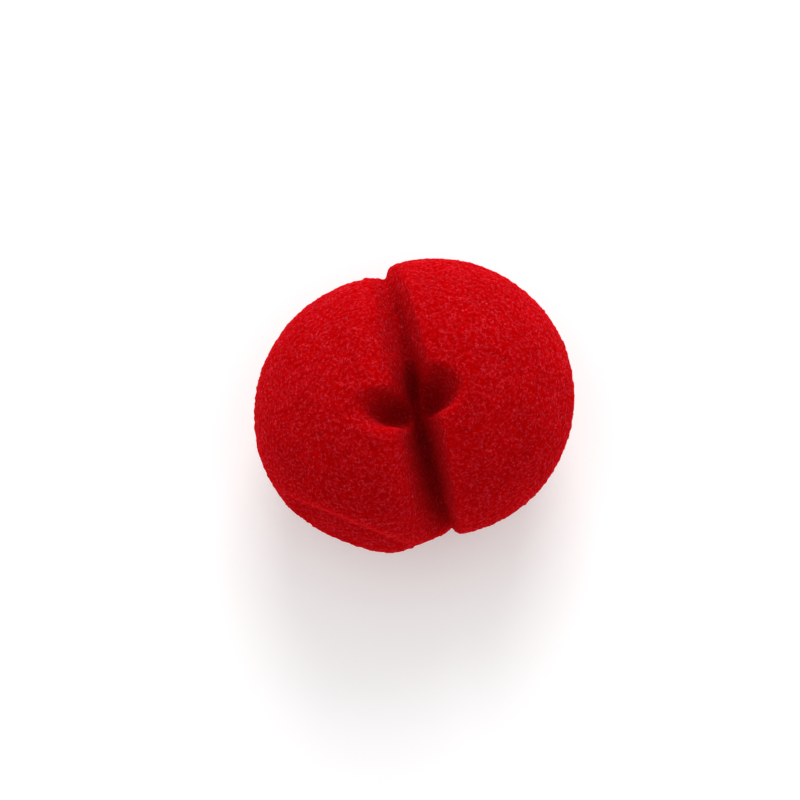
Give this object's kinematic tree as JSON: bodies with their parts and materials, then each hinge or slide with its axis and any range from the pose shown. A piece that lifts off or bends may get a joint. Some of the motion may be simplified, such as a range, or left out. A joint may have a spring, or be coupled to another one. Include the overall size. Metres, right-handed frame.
{
  "type": "foam clown nose",
  "caption": "Round open-cell foam clown nose, slit from the back with a nose hole in the middle of the slit, shown with its slit open.",
  "frame": {"origin": "on the surface that the nose rests on, under the middle of the ball", "axes": "+Z from the round front, which is down, to the slit back; X across the slit, Y along it"},
  "size_m": [0.058, 0.0512, 0.048],
  "materials": {
    "foam": "matte open-cell foam"
  },
  "bodies": {
    "root": {"foam_ball": "foam"}
  },
  "joints": []
}
